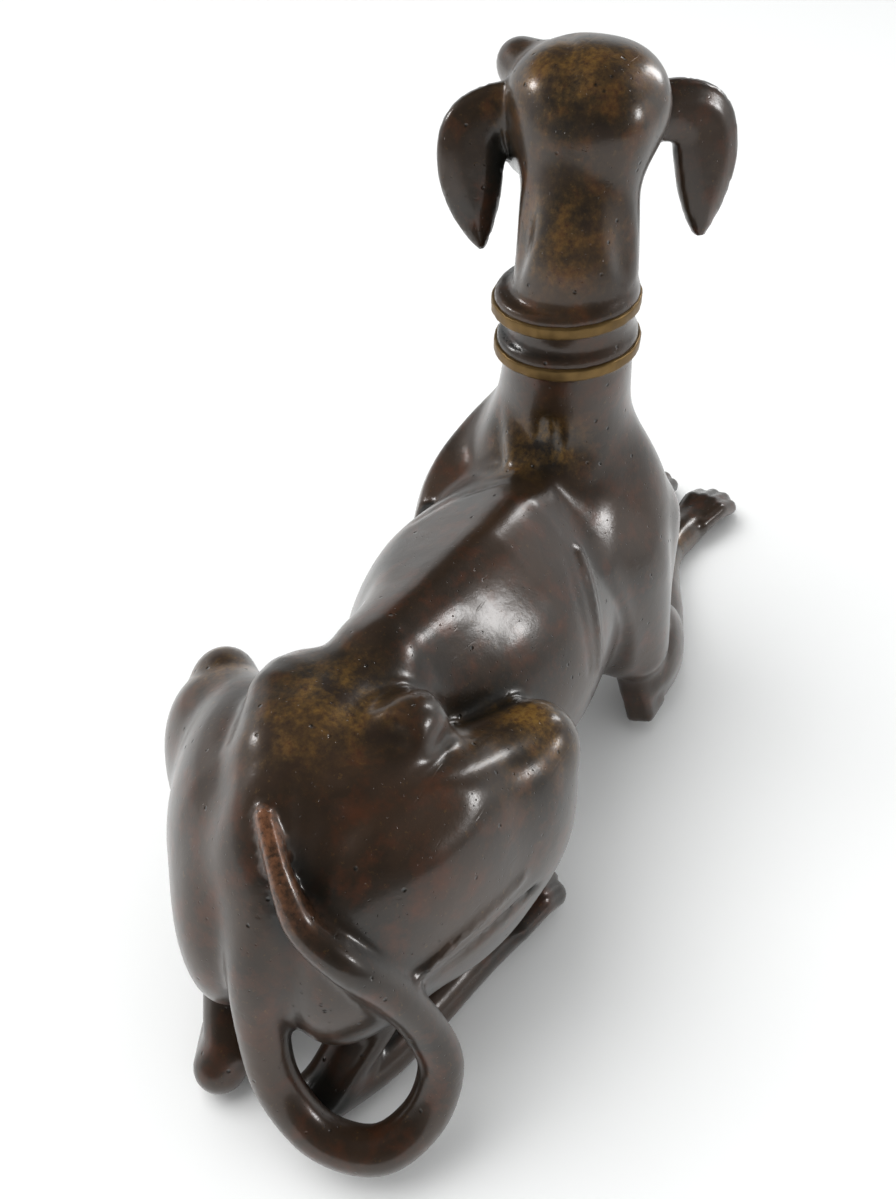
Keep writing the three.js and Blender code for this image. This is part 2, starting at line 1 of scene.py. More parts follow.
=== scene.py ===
# %% [markdown]
# # A patinated bronze greyhound
#
# The object is one hollow casting: a greyhound that lies with its head up and turned, a collar
# cast on its neck, and a tail that swings round in a loop and ends on its rump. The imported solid
# gives its place and size. This script models the skin of the casting again, finer, and gives it
# the finish of old waxed bronze.

# %% Load the frame
import math

import bmesh
import bpy
import numpy as np
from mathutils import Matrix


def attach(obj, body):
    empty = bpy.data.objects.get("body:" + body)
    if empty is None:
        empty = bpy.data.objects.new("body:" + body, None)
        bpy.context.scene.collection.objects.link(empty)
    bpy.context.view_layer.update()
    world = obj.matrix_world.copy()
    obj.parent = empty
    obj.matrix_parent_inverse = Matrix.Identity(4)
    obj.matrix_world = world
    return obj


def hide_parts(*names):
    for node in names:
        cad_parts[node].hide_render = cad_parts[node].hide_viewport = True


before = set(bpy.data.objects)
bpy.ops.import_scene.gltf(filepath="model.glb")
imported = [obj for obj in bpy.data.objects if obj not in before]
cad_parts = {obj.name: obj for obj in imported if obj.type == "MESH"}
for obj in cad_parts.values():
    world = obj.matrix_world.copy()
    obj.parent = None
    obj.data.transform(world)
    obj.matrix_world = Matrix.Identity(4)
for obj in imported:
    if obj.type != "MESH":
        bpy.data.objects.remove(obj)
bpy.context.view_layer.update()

# %% [markdown]
# ## The skin as a field of distances
#
# A sculptor builds a dog from wax: rods, pellets and smears that melt into each other. It could be
# box modelled and subdivided, but muscles that flow into one another are easier to state as
# distances. Each form answers how far a point is from it, `meld` lets forms run together over a
# width, and the skin is where the answer is zero. Everything here is in millimetres, +X towards
# the forepaws, +Y to the dog's left.

# %% Forms and how they join
FAR = 1e3
BAND = 7.0  # the field is only true this near to the skin, which is all that is needed


class Form:
    """A distance to a shape, with the box that the shape lies in."""

    def __init__(self, distance, low, high):
        self.distance = distance
        self.low = np.asarray(low, float)
        self.high = np.asarray(high, float)

    def near(self, points, margin):
        return np.all((points > self.low - margin) & (points < self.high + margin), axis=1)


def blend(a, b, width):
    overlap = np.maximum(width - np.abs(a - b), 0) / width
    return np.minimum(a, b) - overlap * overlap * width / 4


def meld(width, forms):
    """The forms run together over a width, one after the other."""
    def distance(points):
        result = np.full(len(points), FAR)
        for form in forms:
            near = form.near(points, BAND + width)
            if near.any():
                result[near] = blend(result[near], form.distance(points[near]), width)
        return result
    return Form(distance, np.min([f.low for f in forms], 0), np.max([f.high for f in forms], 0))


def carve(form, tools, width):
    """Takes each tool out of the form and softens the rim over a width."""
    def distance(points):
        result = form.distance(points)
        for tool in tools:
            near = tool.near(points, BAND + width)
            if near.any():
                result[near] = -blend(-result[near], tool.distance(points[near]), width)
        return result
    return Form(distance, form.low, form.high)


def bar(a, radius_a, b, radius_b):
    """A tapered round bar between a and b."""
    a = np.asarray(a, float)
    b = np.asarray(b, float)
    axis = b - a
    length_squared = axis @ axis

    def distance(points):
        offset = points - a
        t = np.clip(offset @ axis / length_squared, 0, 1)
        gap = np.linalg.norm(offset - t[:, None] * axis, axis=1)
        return gap - radius_a - t * (radius_b - radius_a)
    radius = max(radius_a, radius_b)
    return Form(distance, np.minimum(a, b) - radius, np.maximum(a, b) + radius)


def union(forms):
    def distance(points):
        result = np.full(len(points), FAR)
        for form in forms:
            near = form.near(points, BAND)
            if near.any():
                result[near] = np.minimum(result[near], form.distance(points[near]))
        return result
    return Form(distance, np.min([f.low for f in forms], 0), np.max([f.high for f in forms], 0))


def run(points):
    """Bars through points that each give x, y, z and radius."""
    return union([bar(p[:3], p[3], q[:3], q[3]) for p, q in zip(points, points[1:])])


def smooth_path(points, steps):
    """A centripetal Catmull-Rom curve through rows of numbers, the first three of them a place."""
    rows = np.asarray(points, float)
    rows = np.vstack([2 * rows[0] - rows[1], rows, 2 * rows[-1] - rows[-2]])
    path = []
    for step in range(steps + 1):
        place = step / steps * (len(points) - 1)
        k = min(int(place), len(points) - 2)
        t = place - k
        p0, p1, p2, p3 = rows[k:k + 4]
        pairs = ((p0, p1), (p1, p2), (p2, p3))
        d0, d1, d2 = [max(np.linalg.norm((q - p)[:3]), 1e-4) ** 0.5 for p, q in pairs]
        m1 = ((p1 - p0) / d0 - (p2 - p0) / (d0 + d1) + (p2 - p1) / d1) * d1
        m2 = ((p2 - p1) / d1 - (p3 - p1) / (d1 + d2) + (p3 - p2) / d2) * d1
        cubic = 2 * p1 - 2 * p2 + m1 + m2
        square = -3 * p1 + 3 * p2 - 2 * m1 - m2
        path.append(p1 + m1 * t + square * t ** 2 + cubic * t ** 3)
    return np.array(path)


def curve(points, steps):
    """The same run, rounded through its points by a smooth curve."""
    return run([tuple(row) for row in smooth_path(points, steps)])


def turned(yaw, pitch, roll):
    """Rows of the turned axes, for angles in degrees."""
    cz, cy, cx = [math.cos(math.radians(v)) for v in (yaw, pitch, roll)]
    sz, sy, sx = [math.sin(math.radians(v)) for v in (yaw, pitch, roll)]
    about_z = np.array([[cz, -sz, 0], [sz, cz, 0], [0, 0, 1]])
    about_y = np.array([[cy, 0, sy], [0, 1, 0], [-sy, 0, cy]])
    about_x = np.array([[1, 0, 0], [0, cx, -sx], [0, sx, cx]])
    return (about_z @ about_y @ about_x).T


def mass(centre, radii, yaw=0, pitch=0, roll=0):
    """A rounded mass: an ellipsoid turned by yaw, pitch and roll."""
    centre = np.asarray(centre, float)
    radii = np.asarray(radii, float)
    axes = turned(yaw, pitch, roll)

    def distance(points):
        local = (points - centre) @ axes.T / radii
        size = np.linalg.norm(local, axis=1)
        slope = np.linalg.norm(local / radii, axis=1)
        return np.where(slope > 1e-9, size * (size - 1) / np.maximum(slope, 1e-9), -radii.min())
    reach = np.sqrt(((axes * radii[:, None]) ** 2).sum(0))
    return Form(distance, centre - reach, centre + reach)


def slab(centre, half, yaw, pitch, roll, rounding):
    """A turned block with rounded edges."""
    centre = np.asarray(centre, float)
    half = np.asarray(half, float)
    axes = turned(yaw, pitch, roll)

    def distance(points):
        past = np.abs((points - centre) @ axes.T) - half
        return np.linalg.norm(np.maximum(past, 0), axis=1) + np.minimum(past.max(1), 0) - rounding
    reach = np.abs(axes * half[:, None]).sum(0) + rounding
    return Form(distance, centre - reach, centre + reach)


def meet(width, forms):
    """What is inside both forms, its edge softened over a width."""
    first, second = forms

    def distance(points):
        return -blend(-first.distance(points), -second.distance(points), width)
    return Form(distance, first.low, first.high)


# %% [markdown]
# ## The dog's forms
#
# The body is laid down as a sculptor would: the barrel of the ribs, the loin and the rump first,
# then the legs pressed against them, the neck and the head, and last what is worked with a small
# tool: folds of skin, tendons, toes and the face.

# %% Trunk
SPINE = [
    (8, 3.4, 66), (22, 3, 67), (32, 2.6, 65), (42, 3.4, 64.2), (52, 2, 64.6), (66, 0.8, 65.4), (78, 1, 65.4),
    (90, 2.6, 64),
]
LEFT_SLOPE = 27  # degrees that the back falls to either side of the spine
RIGHT_SLOPE = 36
RIGHT_ROUNDING = 15  # width over which the right side turns from the spine to the ribs
KEEL_DEPTH = 5.6
KEEL_RADIUS = 7.6


def fall(side, angle, lift=0):
    """The plane that falls away from the spine to one side, so that the back has a keel."""
    crest = np.array(SPINE)
    s = math.sin(math.radians(angle))
    c = math.cos(math.radians(angle))

    def distance(points):
        beside = points[:, 1] - np.interp(points[:, 0], crest[:, 0], crest[:, 1])
        above = points[:, 2] - lift - np.interp(points[:, 0], crest[:, 0], crest[:, 2])
        return side * beside * s + above * c
    return Form(distance, (-FAR,) * 3, (FAR,) * 3)


def half_space(place, normal):
    """Everything behind a plane through a place."""
    place = np.asarray(place, float)
    normal = np.asarray(normal, float)
    normal = normal / np.linalg.norm(normal)
    return Form(lambda points: (points - place) @ normal, (-FAR,) * 3, (FAR,) * 3)


def trunk():
    masses = meld(6, [
        meld(7, [
            mass((69, 2.8, 39), (29.5, 20.4, 26.5), 0, 3),
            mass((90, 2.8, 36), (22, 16.5, 27), 0, -3),
            mass((104, 3.5, 30), (17, 13.5, 19)),
            mass((109, 4.5, 45), (15, 13.5, 21), 0, -10),
        ]),
        bar((60, 2, 48), 12, (34, 4.6, 51), 8.6),
        mass((22, 4, 46.4), (19, 11, 15.6), 0, -14),
        mass((14, 3.5, 34), (13, 12, 17)),
        run([(x, y, z - KEEL_DEPTH, KEEL_RADIUS) for x, y, z in SPINE[3:]]),
    ])
    right_rounded = meet(RIGHT_ROUNDING, [masses, fall(-1, RIGHT_SLOPE, RIGHT_ROUNDING / 4)])
    return meet(1.2, [right_rounded, fall(1, LEFT_SLOPE)])


# %% Hind legs
def hind_leg(hip, seat, ridge, knee, haunch, hock, foot):
    """Hip point, thigh, haunch muscle, calf and the foot flat on the ground."""
    thigh = meld(5, [
        bar(seat, 11, knee[:3], knee[3]),
        *[mass(centre, radii, yaw, pitch) for centre, radii, yaw, pitch in haunch],
    ])
    front = meld(3, [thigh, curve(hip, 6), bar(ridge[:3], ridge[3], knee[:3], knee[3])])
    calf = meld(3, [front, bar(knee[:3], knee[3] * 0.9, hock, 4)])
    return meld(1.2, [calf, curve(foot, 16)])


right_hind_leg = dict(
    hip=[(19, -4, 54, 4.4), (27.6, -5.8, 56.8, 4.6), (32, -6.2, 56, 4.4), (32.6, -7.4, 50, 4)],
    seat=(22, -7, 43),
    ridge=(35, -11.5, 43.5, 5),
    knee=(46, -17.3, 44.5, 5.6),
    haunch=[
        ((26, -12.5, 34.4), (24.5, 10.5, 19.4), -16, 30),
        ((39.8, -18, 36.6), (9.5, 7.2, 12.2), -16, 8),
        ((12, -7.5, 30), (12, 8.5, 14), -10, 10),
    ],
    hock=(6, -6, 7),
    foot=[(3, -5, 4.8, 4.2), (14, -9.2, 3.8, 4.1), (36, -13.4, 3.6, 4.2), (46, -15.4, 4.2, 4.8),
          (51, -16.6, 4, 4.4)],
)
left_hind_leg = dict(
    hip=[(19, 9, 55, 4.6), (27, 12.6, 55.8, 5), (32, 12.8, 54.4, 5), (37, 12, 50, 4)],
    seat=(21, 10, 45),
    ridge=(30, 22, 38.5, 4.2),
    knee=(37.5, 31.6, 43.6, 3.8),
    haunch=[
        ((21.5, 18.4, 33.5), (20, 10.2, 18.6), 28, 30),
        ((29, 30, 36.5), (8.5, 6.2, 11), 30, 12),
        ((8, 11, 29.5), (9.5, 6.8, 14), 20, 0),
    ],
    hock=(2, 10, 7),
    foot=[(0, 10.6, 4.8, 4), (10, 15.6, 4, 3.9), (32, 24, 3.3, 3.7), (44, 26, 3.6, 4.4), (50, 26, 2.8, 3.6)],
)


# %% Forelegs
def fore_leg(blade, point, upper_arm, triceps, limb, planes, elbow, forearm, arm):
    """Shoulder blade, upper arm, triceps, the bone of the elbow, and the forearm along the ground."""
    block = meld(5, [mass(*triceps), bar(*limb)])
    for place, normal, softness in planes:
        block = meet(softness, [block, half_space(place, normal)])
    shoulder = meld(3, [
        block,
        meld(4, [bar(blade[:3], blade[3], point[:3], point[3]), mass(*upper_arm)]),
        bar(point[:3], point[3], elbow[0], 4),
    ])
    with_elbow = meld(1.2, [shoulder, slab(*elbow)])
    return meld(1.2, [with_elbow, meld(2.5, [mass(*forearm), curve(arm, 16)])])


right_fore_leg = dict(
    blade=(94, -1.2, 60.2, 4),
    point=(110, -7.6, 43, 8),
    upper_arm=((107.5, -8.6, 44), (8.6, 7.2, 18), 0, -14, -8),
    triceps=((96, -9, 42), (18, 8.2, 25), 0, -14, -10),
    limb=((97, -9.6, 46), 8.4, (101.6, -13.6, 20), 6.6),
    planes=[
        ((82.6, -11, 50), (-0.93, -0.24, -0.28), 0.8),
        ((88, -4, 58.8), (-0.55, -0.46, 0.7), 0.8),
        ((90, -6, 60.6), (-0.14, -0.8, 0.59), 2.5),
        ((98, -14, 14), (-0.3, 0, -0.95), 0.8),
    ],
    elbow=((103, -15.6, 10), (2.8, 1.6, 6), 0, 6, -20, 1.2),
    forearm=((114, -14.6, 10.5), (13, 5.9, 7.2), 14, 4),
    arm=[(106, -15.8, 5, 4), (115, -15, 5.6, 5), (128, -11.5, 5.5, 4.8), (152, -3.4, 4, 4),
         (166, -4, 3.6, 4.2), (174, -5.2, 3, 3.6)],
)
left_fore_leg = dict(
    blade=(95, 10, 60, 5),
    point=(110, 17, 46.5, 10),
    upper_arm=((108, 18, 34), (9, 7.5, 13), 0, -8, 4),
    triceps=((96.5, 17.4, 43), (19, 10, 24.5), 0, -14, 10),
    limb=((97, 18, 46), 8.4, (101.6, 21.6, 20), 6.6),
    planes=[
        ((85.2, 17, 51), (-0.83, -0.5, -0.2), 0.8),
        ((90, 9, 59.5), (-0.45, 0.2, 0.87), 0.8),
        ((98, 22, 14), (-0.3, 0, -0.95), 0.8),
    ],
    elbow=((103, 23.5, 9.4), (2.8, 1.6, 6), 0, 6, 20, 1.2),
    forearm=((114, 22.5, 10.5), (13, 5.9, 7.2), -14, 4),
    arm=[(106, 24, 5, 4), (115, 23.4, 5.6, 5), (128, 20, 5.5, 4.8), (152, 12, 4, 4), (166, 10.5, 3.6, 4.2),
         (176, 9.6, 3, 3.6)],
)


# %% Paws
def paw(root, heading, length, spread, toe):
    """Four toes side by side, each with a knuckle and a nail, the middle two longer."""
    c = math.cos(math.radians(heading))
    s = math.sin(math.radians(heading))
    root = np.asarray(root, float)

    def place(forward, left, up):
        return tuple(root + (forward * c - left * s, forward * s + left * c, up))
    toes = []
    for k in range(4):
        side = k - 1.5
        reach = length * (1 - 0.07 * side * side)
        left = side * spread
        toes.append(run([
            (*place(0, left * 0.75, 1.2), toe),
            (*place(reach * 0.5, left * 0.95, 2.1), toe * 1.02),
            (*place(reach * 0.85, left * 1.05, 0.6), toe * 0.92),
            (*place(reach, left * 1.05, -0.9), toe * 0.6),
            (*place(reach * 1.12, left * 1.02, -2), toe * 0.28),
        ]))
    return meld(0.5, toes)


PAWS = [
    paw((168, -4.4, 3.8), -10, 16.5, 2.5, 2.1),
    paw((170, 10.2, 3.8), -4, 16.5, 2.5, 2.1),
    paw((43, -15, 4.4), -8, 13, 2.5, 2.5),
    paw((42, 25.8, 3.8), 0, 13, 2.3, 2),
]


# %% Neck and collar
COLLAR_MIDDLE = np.array([97.45, 2.65, 85.6])
COLLAR_AXIS = np.array([-0.1, 0.04, 1.0])
COLLAR_AXIS /= np.linalg.norm(COLLAR_AXIS)
COLLAR_SPACING = 7.3
COLLAR_RADIUS = 11.3
LEDGE_RISE = 0.8  # mm that a ledge's middle stands above its fillet's
LEDGE_HALF = 1.5
LEDGE_ROUNDING = 0.9


def collar_place(side, rise=0):
    """A place on the collar's axis, level with the upper or lower fillet or some way above it."""
    return COLLAR_MIDDLE + COLLAR_AXIS * (side * COLLAR_SPACING / 2 + rise)


def drum(middle, axis, half_height, radius, rounding):
    """A round disc with softened rims."""
    def distance(points):
        offset = points - middle
        along = offset @ axis
        around = np.linalg.norm(offset - along[:, None] * axis, axis=1)
        past = np.stack([around - radius, np.abs(along) - half_height], 1) + rounding
        return np.linalg.norm(np.maximum(past, 0), axis=1) + np.minimum(past.max(1), 0) - rounding
    reach = radius + half_height
    return Form(distance, middle - reach, middle + reach)


NECK_LINE = [
    (106, 4.5, 52, 13.5), (102, 4, 66, 11.7), (98, 2, 82, 10.2), (97.8, 1.7, 95, 9.6), (102.5, 4, 110, 8.8),
]


def neck():
    """The neck from the chest to the skull, with the two ledges that the collar's fillets sit on."""
    return meld(1.5, [
        curve(NECK_LINE, 90),
        *[drum(collar_place(side, LEDGE_RISE), COLLAR_AXIS, LEDGE_HALF, COLLAR_RADIUS, LEDGE_ROUNDING)
          for side in (1, -1)],
    ])


SKULL = np.array([109, 6, 113.0])
HEAD_YAW = 40


def on_head(forward, left, up):
    """A place given forward, left and up from the middle of the skull."""
    c = math.cos(math.radians(HEAD_YAW))
    s = math.sin(math.radians(HEAD_YAW))
    return SKULL + (forward * c - left * s, forward * s + left * c, up)


def head():
    """Skull, brows, cheeks, muzzle and jaw."""
    return meld(4.5, [
        mass(on_head(-1, 0.6, 1.4), (15.5, 10.8, 10.6), HEAD_YAW),
        *[mass(on_head(-1.5, 0.6 + side * 6.2, 3.4), (8.5, 5.6, 6.4), HEAD_YAW) for side in (1, -1)],
        mass(on_head(13, 7.2, 5), (5, 4, 4), HEAD_YAW),
        mass(on_head(13, -6.6, 4.2), (5, 4, 4), HEAD_YAW),
        *[mass(on_head(5, side * 7.6, -4.4), (8, 4.4, 5.2), HEAD_YAW) for side in (1, -1)],
        bar(on_head(8, 0, -1), 8.2, on_head(37, 0, -7), 4.2),
        bar(on_head(8, 0, -6), 6, on_head(33, 0, -10.5), 2.8),
    ])


# %% Face
def face(form):
    """Eyes in their sockets, lids, the nose with its nostrils, and the line of the mouth."""
    sides = (1, -1)
    sockets = [mass(on_head(18.5, side * 7.4, 1.4), (4.2, 2, 2.6), HEAD_YAW - side * 16) for side in sides]
    mouth = [curve([(*on_head(f, side * left, up), 0.55) for f, left, up in MOUTH], 14) for side in sides]
    nostrils = [mass(on_head(42.2, side * 1.7, -5.6), (1.2, 0.7, 0.8), HEAD_YAW + side * 30)
                for side in sides]
    nose = mass(on_head(39.6, 0, -5.2), (2.6, 3, 2.6), HEAD_YAW)
    eyes = [mass(on_head(16.6, side * 6.2, 1.8), (3, 2.4, 2), HEAD_YAW - side * 16) for side in sides]
    lids = [curve([(*on_head(f, side * left, up), 0.6) for f, left, up in LID], 10) for side in sides]
    pressed = carve(form, sockets, 1.6)
    with_nose = meld(1.2, [pressed, nose])
    with_eyes = meld(0.4, [with_nose, *eyes])
    return carve(meld(0.8, [with_eyes, *lids]), [*mouth, *nostrils], 0.5)


MOUTH = [(41, 1.2, -8.8), (37, 3.6, -9), (31, 5, -9), (25, 6.2, -9.4), (20, 7.2, -10.4)]
LID = [(13.6, 8.6, 1.4), (15.2, 8.8, 3.4), (17.6, 8.2, 4), (19.8, 7, 2.8), (20.8, 6.2, 1)]


# %% Ears
EAR_THICKNESS = 3.6
# The middle line of each ear from its root to its tip, as left, up and half width
LEFT_EAR = [
    (9.6, 1.6, 3.8), (14.6, 0.6, 4.3), (17.6, -2, 5), (18, -6.6, 5.2), (17.6, -11, 4.3), (17, -15, 2.7),
    (16.4, -18.2, 1),
]
RIGHT_EAR = [
    (11, -0.4, 4.2), (16.4, -0.6, 4.7), (20.4, -2.8, 5.5), (21.4, -7.2, 5.6), (21.3, -11.8, 4.6),
    (21, -16, 2.9), (20.8, -19.2, 1.2),
]
EAR_RIM = 3.5  # mm from the edge over which the ear grows to its full thickness
EAR_HOLLOW = 0.7


def ear(side, line):
    """A drooping leaf that leans back as it falls, hollowed a little towards its middle."""
    outline = curve([(0, side * left, up, wide) for left, up, wide in line], 40)
    axes = turned(HEAD_YAW - side * 8, 0, 0)

    def leaf_at(up):
        return 0.7 + 0.16 * up

    def distance(points):
        local = (points - SKULL) @ axes.T
        inward = outline.distance(local * (0, 1, 1))
        depth = np.clip(-inward / EAR_RIM, 0, 1)
        depth = depth * depth * (3 - 2 * depth)
        from_leaf = np.abs(local[:, 0] - leaf_at(local[:, 2]) + EAR_HOLLOW * depth)
        rounding = EAR_THICKNESS / 4
        past = np.stack([inward, from_leaf - EAR_THICKNESS / 2 * (0.7 + 0.3 * depth)], 1) + rounding
        return np.linalg.norm(np.maximum(past, 0), axis=1) + np.minimum(past.max(1), 0) - rounding
    places = np.array([on_head(leaf_at(up), side * left, up) for left, up, _ in line])
    reach = max(wide for _, _, wide in line) + EAR_THICKNESS
    return Form(distance, places.min(0) - reach, places.max(0) + reach)


# %% Tail
TAIL_ROOT = 4.9
TAIL_MID = 3.3
TAIL_TIP = 0.8
TAIL_LINE = [
    (12, 3, 50, TAIL_ROOT * 1.2), (6, 1.5, 43, TAIL_ROOT), (2, 1, 35, TAIL_ROOT * 0.95),
    (-1, 0, 25, TAIL_ROOT * 0.75), (-3, -3, 15, TAIL_MID), (-3.5, -10, 8.5, TAIL_MID),
    (-1, -17.5, 7.5, TAIL_MID * 1.03), (4.5, -21.5, 11, TAIL_MID), (8.6, -22, 18, TAIL_MID * 0.97),
    (8.4, -19.4, 26, TAIL_MID * 0.9), (5.8, -16, 34.6, TAIL_MID * 0.83), (2.6, -11.4, 42, TAIL_MID * 0.76),
    (2.4, -6, 46, TAIL_MID * 0.66), (3.8, -2.8, 50.4, TAIL_MID * 0.52), (8, 2.4, 56.6, TAIL_TIP),
]


def tail():
    """Drops from the croup, swings round in a loop and lays its tip on the rump."""
    return curve(TAIL_LINE, 120)


# %% Folds, tendons and hollows
# Each gives how softly it runs into its surroundings, then its form: for creases and ridges, a line
# on the skin as x, y, z and radius
CREASES = [
    (1.6, [(83.2, -6.5, 59.6, 0.2), (78, -8.4, 58.2, 0.35), (74.4, -11.2, 55.6, 0.4), (71, -14.6, 51.4, 0.4),
           (69, -17, 46.6, 0.3), (67.8, -18.2, 41.6, 0.2)]),
    (1.2, [(80.6, 5, 63.6, 0.2), (79.6, 8.4, 62, 0.4), (77, 13, 60, 0.4), (71, 17, 57.8, 0.2)]),
    (3, [(90, 1.4, 71, 0.2), (89.4, 0.9, 68, 0.5), (87.6, 0.4, 64.6, 0.6), (84, 1.6, 64.4, 0.4)]),
    (1.8, [(17.6, 1.4, 61.8, 0.2), (14, 0.2, 59.6, 0.6), (10.4, -1.4, 55.6, 0.7), (7, -2.6, 50.4, 0.4)]),
    (2, [(109, 9.8, 125.4, 0.2), (104, 7.6, 125.4, 0.4), (99.4, 5.4, 123.8, 0.4), (96.6, 4.2, 121.4, 0.2)]),
    (1.4, [(8, -17.6, 30.4, 0.2), (16.4, -20.2, 30.6, 0.5), (25, -22.9, 31.8, 0.4), (33, -24, 31, 0.2)]),
]
HOLLOWS = [
    (2.5, mass((80.6, 2.2, 66.6), (5.2, 3.2, 2.4), -20, 8)),
    (3.5, mass((19, -4.8, 62.4), (8.4, 3.6, 3.2), -20, 26)),
    (3.5, mass((18.4, -17.8, 55.8), (9, 4.4, 3.2), -34, 0)),
    (3.5, mass((38.6, -10, 57.4), (3.4, 3, 3.4), 20, 0)),
    (3, mass((90.2, 9.4, 104), (2.4, 2.4, 9), 0, -6)),
    (3, mass((94.2, -8.2, 104), (2.4, 2.4, 8), 0, -6)),
]
RIDGES = [
    (2, [(86.6, 6, 62, 0.6), (89.6, 7, 65.4, 1.6), (92, 8.4, 68.6, 1.2)]),
    (2, [(80, -9.2, 54.8, 0.1), (76.6, -13, 50.2, 0.2), (73.4, -15.8, 44.8, 0.2), (71.4, -17.2, 39.6, 0.1)]),
    (1.2, [(10, -18.2, 34.2, 0.4), (19, -21.2, 36, 0.6), (29, -23.6, 36.4, 0.5)]),
]


def worked(form):
    """The lines that the sculptor pressed in or raised after the masses were right."""
    for softness, line in RIDGES:
        form = meld(softness, [form, curve(line, 24)])
    for softness, line in CREASES:
        form = carve(form, [curve(line, 24)], softness)
    for softness, hollow_form in HOLLOWS:
        form = carve(form, [hollow_form], softness)
    return form


# %% The whole dog
def greyhound():
    body = meld(3.6, [trunk(), hind_leg(**right_hind_leg), hind_leg(**left_hind_leg)])
    front = meld(2.6, [body, fore_leg(**right_fore_leg), fore_leg(**left_fore_leg)])
    with_neck = meld(8, [front, neck()])
    with_head = meld(3.6, [with_neck, head()])
    with_ears = meld(1.6, [face(worked(with_head)), ear(1, LEFT_EAR), ear(-1, RIGHT_EAR)])
    with_paws = meld(1.2, [with_ears, *PAWS])
    return meld(2.4, [with_paws, tail()])


dog = greyhound()
print("forms reach from", dog.low.round(1), "to", dog.high.round(1))


# %% [markdown]
# ## From field to mesh
#
# Marching cubes would give slivers, and a voxel remesh would round the folds away. Surface nets
# put one vertex in each cell that the skin crosses and join neighbours with quads, so the faces
# are even. Each vertex is then slid onto the skin along the field's slope.

# %% Surface nets
NEAR_SHARE = 1.17  # of a block's side: a block's middle this near to the skin may have skin inside it


def sample(field, low, high, step):
    """Values of the field on a grid; blocks far from the skin keep one value."""
    counts = np.ceil((high - low) / step).astype(int) + 1
    block = 6
    blocks = -(-counts // block)
    centres = np.stack(np.meshgrid(*[np.arange(n) for n in blocks], indexing="ij"), -1).reshape(-1, 3)
    middles = field.distance(low + (centres + 0.5) * block * step)
    reach = block * step * NEAR_SHARE
    values = (np.sign(middles) * FAR).reshape(blocks)
    values = values.repeat(block, 0).repeat(block, 1).repeat(block, 2)
    corner = np.stack(np.meshgrid(*[np.arange(block)] * 3, indexing="ij"), -1).reshape(-1, 3)
    near = centres[np.abs(middles) < reach]
    cells = (near[:, None] * block + corner[None]).reshape(-1, 3)
    values[tuple(cells.T)] = field.distance(low + cells * step)
    return values


def surface_nets(values, low, step):
    """One vertex in each cell that the skin crosses, and a quad round each edge that it crosses."""
    inside = values < 0
    corners = [(i, j, k) for i in (0, 1) for j in (0, 1) for k in (0, 1)]
    shape = np.array(values.shape) - 1
    filled = sum(inside[tuple(slice(i, i + n) for i, n in zip(c, shape))].astype(np.int8) for c in corners)
    cells = np.argwhere((filled > 0) & (filled < 8))
    number = np.full(values.shape, -1)
    number[tuple(cells.T)] = np.arange(len(cells))
    total = np.zeros((len(cells), 3))
    count = np.zeros(len(cells))
    for c in corners:
        for axis in range(3):
            if c[axis]:
                continue
            d = list(c)
            d[axis] = 1
            a = values[tuple((cells + c).T)]
            b = values[tuple((cells + d).T)]
            crossed = (a < 0) != (b < 0)
            share = a / np.where(crossed, a - b, 1)
            place = np.tile(np.array(c, float), (len(cells), 1))
            place[:, axis] = share
            total[crossed] += place[crossed]
            count[crossed] += 1
    points = low + (cells + total / count[:, None]) * step
    quads = []
    for axis in range(3):
        ahead = [slice(None)] * 3
        ahead[axis] = slice(1, None)
        behind = [slice(None)] * 3
        behind[axis] = slice(0, -1)
        edges = np.argwhere(inside[tuple(behind)] != inside[tuple(ahead)])
        u, v = [(axis + 1) % 3, (axis + 2) % 3]
        around = np.repeat(edges[:, None], 4, 1)
        around[:, [1, 2], u] -= 1
        around[:, [2, 3], v] -= 1
        ring = number[tuple(around.reshape(-1, 3).T)].reshape(-1, 4)
        outward = inside[tuple(edges.T)]
        quads.append(np.where(outward[:, None], ring, ring[:, ::-1]))
    return points, np.vstack(quads)


def slope(field, points, reach=0.05):
    columns = []
    for axis in range(3):
        shift = np.zeros(3)
        shift[axis] = reach
        columns.append((field.distance(points + shift) - field.distance(points - shift)) / (2 * reach))
    return np.stack(columns, 1)


def settle(field, points, passes=3):
    """Slides points onto the skin along the field's slope."""
    for _ in range(passes):
        value = field.distance(points)
        steepness = slope(field, points)
        size = np.maximum((steepness ** 2).sum(1), 0.25)
        move = steepness * (value / size)[:, None]
        points = points - np.clip(move, -1, 1)
    return points


# %% Trace the skin
STEP = 0.84
GRID_LOW = np.array([-12, -34, -4.0])
GRID_HIGH = np.array([196, 46, 130.0])
values = sample(dog, GRID_LOW, GRID_HIGH, STEP)
net_points, net_quads = surface_nets(values, GRID_LOW, STEP)
net_points = settle(dog, net_points)
print("skin:", len(net_points), "points and", len(net_quads), "quads")

# %% [markdown]
# ## The casting as a Blender object
#
# The skin goes into one mesh, in metres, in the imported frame. The dog was cast to lie flat on a
# table, so the mesh is cut where the table is and the soles are closed. A Boolean would do that
# too, but a bisect is exact and quick.

# %% Blender mesh
MM = 0.001
ORIGIN = np.array([90.91, 5.50, 0.0])  # the frame's origin in this drawing, in mm
SHARP_EDGE = 60  # degrees; sharper edges, such as the rims of the soles, are shaded as edges


def to_frame(points):
    return (np.asarray(points, float) - ORIGIN) * MM


